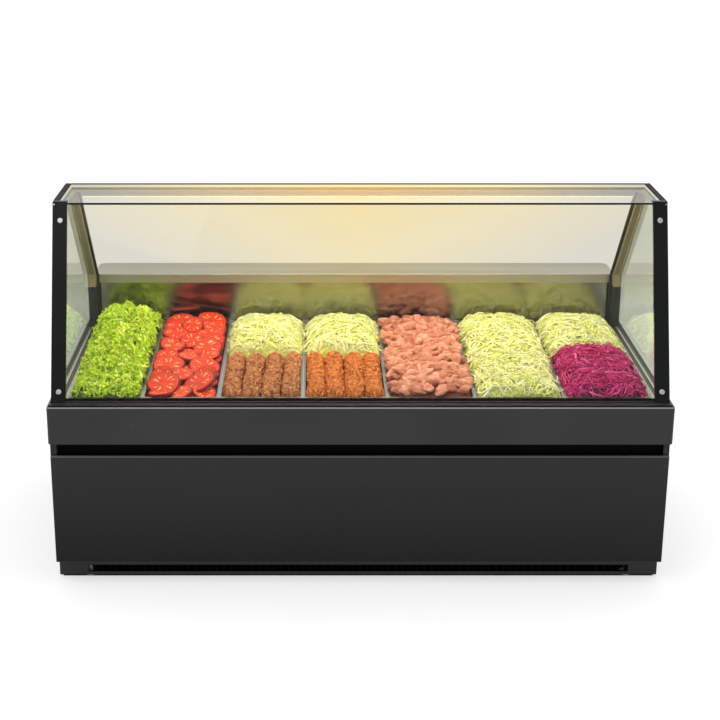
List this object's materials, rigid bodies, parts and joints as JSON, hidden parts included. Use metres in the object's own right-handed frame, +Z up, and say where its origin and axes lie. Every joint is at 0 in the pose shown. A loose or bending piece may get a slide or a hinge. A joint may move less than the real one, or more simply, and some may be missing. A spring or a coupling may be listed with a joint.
{
  "type": "refrigerated deli case",
  "caption": "Black serve-over refrigerated deli case with a sloping glass canopy, food pans, stainless worktop, rear cold store and machine bay.",
  "frame": {"origin": "middle of the footprint on the floor", "axes": "+X along the case (to the right seen from the customer), +Y towards the server, +Z up"},
  "size_m": [2, 1.08, 1.24],
  "materials": {
    "black_panel": "satin",
    "grey_trim": "satin",
    "black_frame": "satin",
    "rear_post_alloy": "satin",
    "stainless": "brushed",
    "cabinet_steel": "satin",
    "galvanised": "matte",
    "fin_aluminium": "satin",
    "copper_pipe": "satin",
    "compressor_black": "satin",
    "clear_glass": "clear",
    "lamp_diffuser": "matte",
    "chrome_screw": "polished",
    "black_rubber": "matte",
    "zinc_foot": "satin",
    "fan_plastic": "matte",
    "control_plastic": "matte",
    "switch_green": "gloss",
    "switch_red": "gloss",
    "lettuce": "satin",
    "tomato": "gloss",
    "kebab": "satin",
    "chicken": "gloss",
    "cabbage": "satin",
    "red_cabbage": "satin"
  },
  "bodies": {
    "cabinet": {"base_frame": "galvanised", "cable_gland": "control_plastic", "compressor": "compressor_black", "condenser_coil": "fin_aluminium", "control_panel": "control_plastic", "deck_trim": "grey_trim", "door_hinge_pins": "chrome_screw", "end_panels": "black_panel", "evaporator_coil": "fin_aluminium", "fan_shrouds": "galvanised", "front_fascia": "black_panel", "front_glass": "clear_glass", "front_panel": "black_panel", "front_posts": "black_frame", "gap_channel": "black_panel", "glass_seals": "black_rubber", "intake_grille": "black_panel", "kick_plate": "black_panel", "led_diffuser": "lamp_diffuser", "led_housing": "black_frame", "pan_support_bars": "stainless", "post_screws": "chrome_screw", "rear_frame": "cabinet_steel", "rear_posts": "rear_post_alloy", "rear_upstand": "stainless", "refrigerant_pipes": "copper_pipe", "service_panel": "cabinet_steel", "side_glass": "clear_glass", "storage_liner": "cabinet_steel", "top_frame": "black_frame", "top_glass": "clear_glass", "well_liner": "stainless", "worktop": "stainless"},
    "food_pan_1": {"pan_1": "stainless", "lettuce_fill": "lettuce"},
    "food_pan_2": {"pan_2": "stainless", "tomato_fill": "tomato"},
    "food_pan_3": {"pan_3": "stainless", "kebab_rolls_3": "kebab"},
    "food_pan_4": {"pan_4": "stainless", "kebab_rolls_4": "kebab"},
    "food_pan_5": {"pan_5": "stainless", "chicken_fill": "chicken"},
    "food_pan_6": {"pan_6": "stainless", "cabbage_fill": "cabbage"},
    "food_pan_7": {"pan_7": "stainless", "red_cabbage_fill": "red_cabbage"},
    "left_door": {"rear_door_left": "cabinet_steel", "door_gasket_left": "black_rubber"},
    "right_door": {"rear_door_right": "cabinet_steel", "door_gasket_right": "black_rubber"},
    "condenser_wheel": {"condenser_fan": "fan_plastic"},
    "evaporator_wheel": {"evaporator_fan": "fan_plastic"},
    "power_rocker": {"power_switch": "switch_red"},
    "light_rocker": {"light_switch": "switch_green"},
    "knob": {"thermostat_knob": "control_plastic"},
    "foot_1": {"levelling_foot_1": "zinc_foot"},
    "foot_2": {"levelling_foot_2": "zinc_foot"},
    "foot_3": {"levelling_foot_3": "zinc_foot"},
    "foot_4": {"levelling_foot_4": "zinc_foot"}
  },
  "joints": [
    {"name": "pan_1_lift", "type": "slide", "parent": "cabinet", "child": "food_pan_1", "axis": [0, 0, 1], "range_m": [0, 0.05]},
    {"name": "pan_2_lift", "type": "slide", "parent": "cabinet", "child": "food_pan_2", "axis": [0, 0, 1], "range_m": [0, 0.05]},
    {"name": "pan_3_lift", "type": "slide", "parent": "cabinet", "child": "food_pan_3", "axis": [0, 0, 1], "range_m": [0, 0.05]},
    {"name": "pan_4_lift", "type": "slide", "parent": "cabinet", "child": "food_pan_4", "axis": [0, 0, 1], "range_m": [0, 0.05]},
    {"name": "pan_5_lift", "type": "slide", "parent": "cabinet", "child": "food_pan_5", "axis": [0, 0, 1], "range_m": [0, 0.05]},
    {"name": "pan_6_lift", "type": "slide", "parent": "cabinet", "child": "food_pan_6", "axis": [0, 0, 1], "range_m": [0, 0.05]},
    {"name": "pan_7_lift", "type": "slide", "parent": "cabinet", "child": "food_pan_7", "axis": [0, 0, 1], "range_m": [0, 0.05]},
    {"name": "left_door_hinge", "type": "hinge", "parent": "cabinet", "child": "left_door", "pos_m": [-0.334, 0.524, 0.24], "axis": [0, 0, 1], "range_deg": [0, 110]},
    {"name": "right_door_hinge", "type": "hinge", "parent": "cabinet", "child": "right_door", "pos_m": [0.964, 0.524, 0.24], "axis": [0, 0, 1], "range_deg": [-110, 0]},
    {"name": "condenser_fan_spin", "type": "hinge", "parent": "cabinet", "child": "condenser_wheel", "pos_m": [-0.56, 0.24, 0.24], "axis": [0, 1, 0], "continuous": true},
    {"name": "evaporator_fan_spin", "type": "hinge", "parent": "cabinet", "child": "evaporator_wheel", "pos_m": [0, -0.3, 0.488], "axis": [0, 1, 0], "continuous": true},
    {"name": "power_switch_rock", "type": "hinge", "parent": "cabinet", "child": "power_rocker", "pos_m": [-0.9, 0.494, 0.447], "axis": [1, 0, 0], "range_deg": [-8, 0]},
    {"name": "light_switch_rock", "type": "hinge", "parent": "cabinet", "child": "light_rocker", "pos_m": [-0.84, 0.494, 0.447], "axis": [1, 0, 0], "range_deg": [-8, 0]},
    {"name": "thermostat_turn", "type": "hinge", "parent": "cabinet", "child": "knob", "pos_m": [-0.74, 0.5, 0.447], "axis": [0, 1, 0], "range_deg": [0, 270]},
    {"name": "foot_1_turn", "type": "hinge", "parent": "cabinet", "child": "foot_1", "pos_m": [-0.9, -0.42, 0.03], "axis": [0, 0, 1], "continuous": true},
    {"name": "foot_2_turn", "type": "hinge", "parent": "cabinet", "child": "foot_2", "pos_m": [0.9, -0.42, 0.03], "axis": [0, 0, 1], "continuous": true},
    {"name": "foot_3_turn", "type": "hinge", "parent": "cabinet", "child": "foot_3", "pos_m": [-0.9, 0.465, 0.03], "axis": [0, 0, 1], "continuous": true},
    {"name": "foot_4_turn", "type": "hinge", "parent": "cabinet", "child": "foot_4", "pos_m": [0.9, 0.465, 0.03], "axis": [0, 0, 1], "continuous": true}
  ]
}
